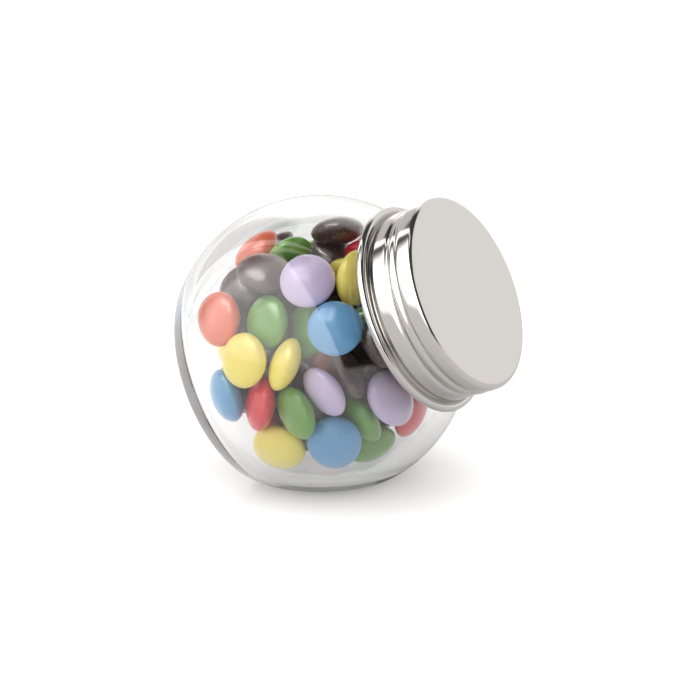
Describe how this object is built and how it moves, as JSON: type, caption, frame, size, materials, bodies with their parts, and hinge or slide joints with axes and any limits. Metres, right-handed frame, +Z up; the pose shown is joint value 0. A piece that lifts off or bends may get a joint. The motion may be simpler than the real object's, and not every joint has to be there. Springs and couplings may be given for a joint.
{
  "type": "screw-lid glass sweet jar",
  "caption": "Small round glass ball jar lying tilted on a flat, with a pressed steel screw lid and a filling of sugar-coated lentil sweets.",
  "frame": {"origin": "middle of the flat that the jar stands on when it leans, on the ground", "axes": "+Z up; the neck leans towards +X, 26 degrees above the horizontal, in the XZ plane; +Y to the left of the neck"},
  "size_m": [0.0898, 0.08, 0.0782],
  "materials": {
    "clear_glass": "clear, smooth, thick-walled",
    "polished_steel": "polished pressed tinplate",
    "plastisol_liner": "soft matt sealing compound",
    "sugar_orange": "satin sugar shell",
    "sugar_brown": "satin sugar shell",
    "sugar_green": "satin sugar shell",
    "sugar_lilac": "satin sugar shell",
    "sugar_yellow": "satin sugar shell",
    "sugar_blue": "satin sugar shell",
    "sugar_red": "satin sugar shell",
    "sugar_core": "stands in for the sweets that the others hide"
  },
  "bodies": {
    "jar": {"glass_jar": "clear_glass", "sweet_blue_01": "sugar_blue", "sweet_blue_02": "sugar_blue", "sweet_blue_03": "sugar_blue", "sweet_brown_01": "sugar_brown", "sweet_brown_02": "sugar_brown", "sweet_brown_03": "sugar_brown", "sweet_brown_04": "sugar_brown", "sweet_brown_05": "sugar_brown", "sweet_brown_06": "sugar_brown", "sweet_brown_07": "sugar_brown", "sweet_brown_08": "sugar_brown", "sweet_brown_09": "sugar_brown", "sweet_core": "sugar_core", "sweet_green_01": "sugar_green", "sweet_green_02": "sugar_green", "sweet_green_03": "sugar_green", "sweet_green_04": "sugar_green", "sweet_green_05": "sugar_green", "sweet_green_06": "sugar_green", "sweet_green_07": "sugar_green", "sweet_green_08": "sugar_green", "sweet_green_09": "sugar_green", "sweet_green_10": "sugar_green", "sweet_green_11": "sugar_green", "sweet_lilac_01": "sugar_lilac", "sweet_lilac_02": "sugar_lilac", "sweet_lilac_03": "sugar_lilac", "sweet_lilac_04": "sugar_lilac", "sweet_lilac_05": "sugar_lilac", "sweet_lilac_06": "sugar_lilac", "sweet_orange_01": "sugar_orange", "sweet_orange_02": "sugar_orange", "sweet_orange_03": "sugar_orange", "sweet_orange_04": "sugar_orange", "sweet_orange_05": "sugar_orange", "sweet_orange_06": "sugar_orange", "sweet_orange_07": "sugar_orange", "sweet_orange_08": "sugar_orange", "sweet_red_01": "sugar_red", "sweet_red_02": "sugar_red", "sweet_red_03": "sugar_red", "sweet_red_04": "sugar_red", "sweet_red_05": "sugar_red", "sweet_red_06": "sugar_red", "sweet_red_07": "sugar_red", "sweet_yellow_01": "sugar_yellow", "sweet_yellow_02": "sugar_yellow", "sweet_yellow_03": "sugar_yellow", "sweet_yellow_04": "sugar_yellow", "sweet_yellow_05": "sugar_yellow", "sweet_yellow_06": "sugar_yellow", "sweet_yellow_07": "sugar_yellow", "sweet_yellow_08": "sugar_yellow", "sweet_yellow_09": "sugar_yellow", "sweet_yellow_10": "sugar_yellow", "sweet_yellow_11": "sugar_yellow", "sweet_yellow_12": "sugar_yellow"},
    "liner": {"lid_liner": "plastisol_liner"},
    "lid": {"lid_shell": "polished_steel"}
  },
  "joints": [
    {"name": "lid_rise", "type": "slide", "parent": "jar", "child": "liner", "axis": [0.8988, 0, 0.4384], "range_m": [0, 0.016]},
    {"name": "lid_turn", "type": "hinge", "parent": "liner", "child": "lid", "pos_m": [0.04278, 0, 0.05547], "axis": [0.8988, 0, 0.4384], "range_deg": [0, 1440]}
  ],
  "couplings": [
    {"joint": "lid_rise", "follows": "lid_turn", "m_per_rad": 0.00063662}
  ]
}
